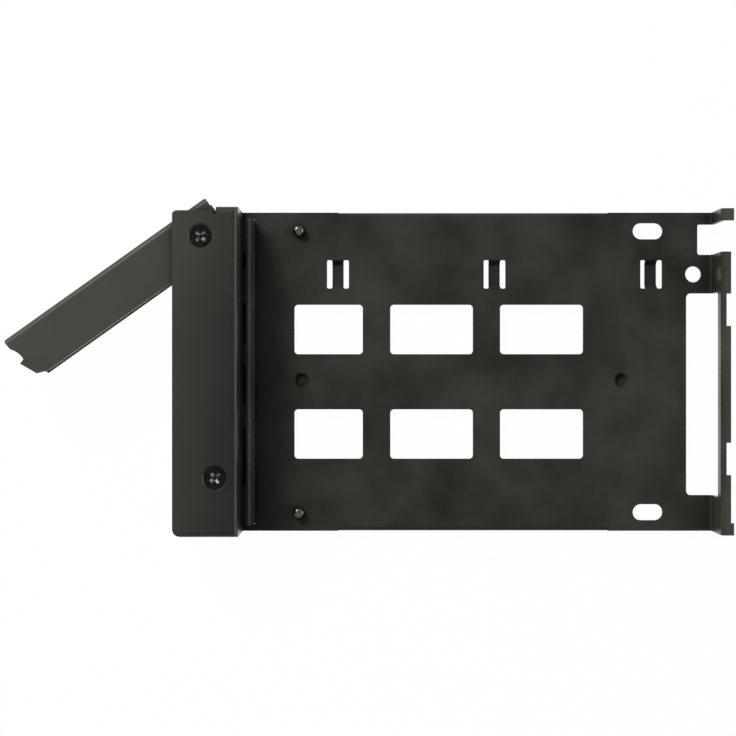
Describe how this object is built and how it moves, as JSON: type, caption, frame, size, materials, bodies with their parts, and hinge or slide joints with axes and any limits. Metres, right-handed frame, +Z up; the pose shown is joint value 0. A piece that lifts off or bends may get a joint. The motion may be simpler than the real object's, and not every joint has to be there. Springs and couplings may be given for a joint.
{
  "type": "hot swap drive caddy",
  "caption": "Black folded-steel caddy for a 2.5-inch drive, with a perforated lever handle that swings open, a release button and an open tray with locating pins.",
  "frame": {"origin": "on the tray floor's upper face, the drive seat, at the centre of the drive's four bottom holes", "axes": "+X to the rear, the connector end; +Y to the left, the side of the handle's pivot; +Z up from the drive seat"},
  "size_m": [0.1551, 0.0716, 0.0174],
  "materials": {
    "tray_sheet": "satin",
    "housing_sheet": "satin",
    "handle_sheet": "satin",
    "button_body": "satin",
    "screw_steel": "satin",
    "pin_steel": "satin",
    "post_steel": "satin",
    "washer_steel": "satin",
    "spring_wire": "satin",
    "rivet_steel": "satin"
  },
  "bodies": {
    "caddy": {"tray": "tray_sheet", "front_housing": "housing_sheet", "pivot_screw": "screw_steel", "latch_screw": "screw_steel", "drive_pin_left": "pin_steel", "drive_pin_right": "pin_steel", "pivot_post": "post_steel", "latch_post": "post_steel", "handle_washer_upper": "washer_steel", "handle_washer_lower": "washer_steel", "button_washer_upper": "washer_steel", "button_washer_lower": "washer_steel", "handle_spring": "spring_wire", "button_spring": "spring_wire", "housing_rivet_left": "rivet_steel", "housing_rivet_right": "rivet_steel"},
    "lever": {"handle": "handle_sheet"},
    "button": {"release_button": "button_body"}
  },
  "joints": [
    {"name": "handle_pivot", "type": "hinge", "parent": "caddy", "child": "lever", "pos_m": [-0.0584, 0.0286, 0.0063], "axis": [0, 0, 1], "range_deg": [0, 54.6], "stiffness_Nm_per_rad": 0.016, "springref_deg": -28.65, "deforming": ["handle_spring"]},
    {"name": "button_pivot", "type": "hinge", "parent": "caddy", "child": "button", "pos_m": [-0.0554, -0.0224, 0.0063], "axis": [0, 0, 1], "range_deg": [0, 16], "stiffness_Nm_per_rad": 0.05, "springref_deg": -5.73, "deforming": ["button_spring"]}
  ]
}
